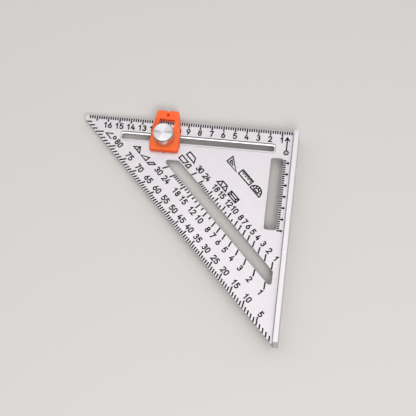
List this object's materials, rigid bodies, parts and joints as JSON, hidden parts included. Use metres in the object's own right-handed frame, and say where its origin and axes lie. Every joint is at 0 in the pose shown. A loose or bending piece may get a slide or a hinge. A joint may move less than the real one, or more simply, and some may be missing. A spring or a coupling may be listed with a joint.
{
  "type": "speed square",
  "caption": "Metric rafter square: triangular aluminium plate with a fence, scribing slots and a marking slider clamped by a knob along the scale edge.",
  "frame": {"origin": "the pivot corner, at the plate's underside, where the scale edge meets the fence's inner face", "axes": "the scale leg runs along -X, the fence along -Y, +Z out of the printed face"},
  "size_m": [0.1852, 0.1926, 0.0281],
  "materials": {
    "satin_aluminium": "satin",
    "turned_aluminium": "turned",
    "orange_plastic": "fine moulded grain",
    "zinc_steel": "zinc plated"
  },
  "bodies": {
    "square": {"square_body": "satin_aluminium"},
    "slider": {"marking_slider": "orange_plastic", "knob_washer": "zinc_steel"},
    "knob": {"clamp_knob": "turned_aluminium"},
    "bolt": {"clamp_bolt": "zinc_steel"}
  },
  "joints": [
    {"name": "slider_slide", "type": "slide", "parent": "square", "child": "slider", "axis": [1, 0, 0], "range_m": [-0.0313, 0.0878]},
    {"name": "knob_turn", "type": "hinge", "parent": "slider", "child": "knob", "pos_m": [-0.1093, -0.01645, 0.0089], "axis": [0, 0, 1], "range_deg": [0, 720]},
    {"name": "bolt_drop", "type": "slide", "parent": "slider", "child": "bolt", "axis": [0, 0, -1], "range_m": [0, 0.0014]}
  ],
  "couplings": [
    {"joint": "bolt_drop", "follows": "knob_turn", "m_per_rad": 0.00011141}
  ]
}
